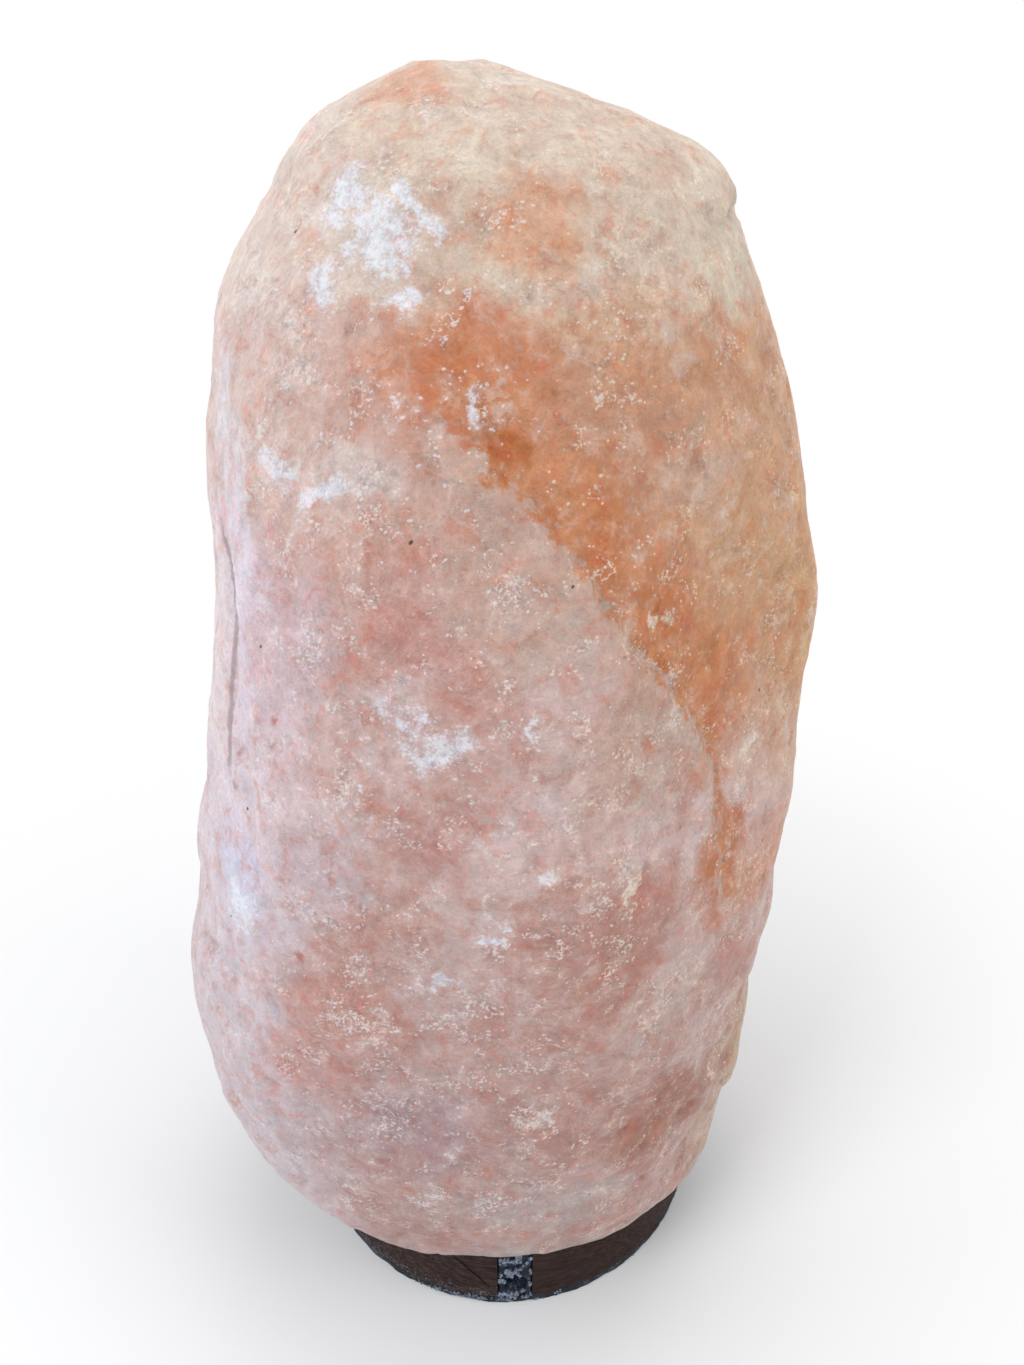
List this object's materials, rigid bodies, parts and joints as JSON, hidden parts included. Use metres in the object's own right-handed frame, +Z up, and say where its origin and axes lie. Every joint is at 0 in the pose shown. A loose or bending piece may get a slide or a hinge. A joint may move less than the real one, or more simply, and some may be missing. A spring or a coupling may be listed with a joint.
{
  "type": "salt crystal lamp",
  "caption": "Tall hewn block of pink rock salt on a round dark wooden base with a cord slot; a small bulb on a pull-down lampholder sits in the bored hollow.",
  "frame": {"origin": "centre of the round base's underside, on the surface that the lamp stands on", "axes": "+Z up along the rock, -Y out through the cord slot at the front, +X to the right"},
  "size_m": [0.1594, 0.1462, 0.3055],
  "materials": {
    "salt": "translucent rough crystal",
    "stained_wood": "dark stained, matt",
    "pad_rubber": "matt",
    "grommet_rubber": "matt, crusted with salt",
    "zinc_steel": "zinc plated",
    "nylon": "satin",
    "plated_steel": "satin",
    "holder_plastic": "satin black",
    "ceramic_insert": "matt",
    "plated_brass": "nickel plated",
    "brass": "satin",
    "spring_steel": "satin",
    "solder": "dull",
    "black_glass": "gloss",
    "clear_glass": "clear",
    "stem_glass": "clear",
    "lead_wire": "dull",
    "tungsten": "dull"
  },
  "bodies": {
    "lamp": {"salt_crystal": "salt", "wood_base": "stained_wood", "foot_pad": "pad_rubber", "cord_grommet": "grommet_rubber", "base_screws": "zinc_steel", "wall_plugs": "nylon"},
    "holder": {"mount_plate": "plated_steel", "threaded_nipple": "zinc_steel", "lock_nut": "zinc_steel", "entry_bush": "nylon", "holder_cap": "holder_plastic", "holder_body": "holder_plastic", "socket_insert": "ceramic_insert", "screw_shell": "plated_brass", "centre_contact": "brass", "contact_rivets": "brass", "terminal_blocks": "brass", "terminal_screws": "zinc_steel", "clip_feet": "spring_steel", "clip_rivets": "zinc_steel"},
    "clip_1": {"spring_clip_1": "spring_steel"},
    "clip_2": {"spring_clip_2": "spring_steel"},
    "clip_3": {"spring_clip_3": "spring_steel"},
    "bulb_tip": {"bulb_contact": "solder", "bulb_insulator": "black_glass"},
    "bulb": {"bulb_cap": "plated_brass", "bulb_glass": "clear_glass", "bulb_stem": "stem_glass", "bulb_wires": "lead_wire", "bulb_filament": "tungsten"}
  },
  "joints": [
    {"name": "holder_pull", "type": "slide", "parent": "lamp", "child": "holder", "axis": [0, 0, -1], "range_m": [0, 0.1]},
    {"name": "clip_1_flex", "type": "hinge", "parent": "holder", "child": "clip_1", "pos_m": [0, 0.01875, 0.016], "axis": [1, 0, 0], "range_deg": [0, 7.5], "stiffness_Nm_per_rad": 0.6},
    {"name": "clip_2_flex", "type": "hinge", "parent": "holder", "child": "clip_2", "pos_m": [-0.01624, -0.00937, 0.016], "axis": [-0.5, 0.866, 0], "range_deg": [0, 7.5], "stiffness_Nm_per_rad": 0.6},
    {"name": "clip_3_flex", "type": "hinge", "parent": "holder", "child": "clip_3", "pos_m": [0.01624, -0.00937, 0.016], "axis": [-0.5, -0.866, 0], "range_deg": [0, 7.5], "stiffness_Nm_per_rad": 0.6},
    {"name": "bulb_lift", "type": "slide", "parent": "holder", "child": "bulb_tip", "axis": [0, 0, 1], "range_m": [0, 0.0128]},
    {"name": "bulb_turn", "type": "hinge", "parent": "bulb_tip", "child": "bulb", "pos_m": [0, 0, 0.04], "axis": [0, 0, 1], "range_deg": [0, 1800]}
  ],
  "couplings": [
    {"joint": "bulb_lift", "follows": "bulb_turn", "m_per_rad": 0.00040425}
  ]
}
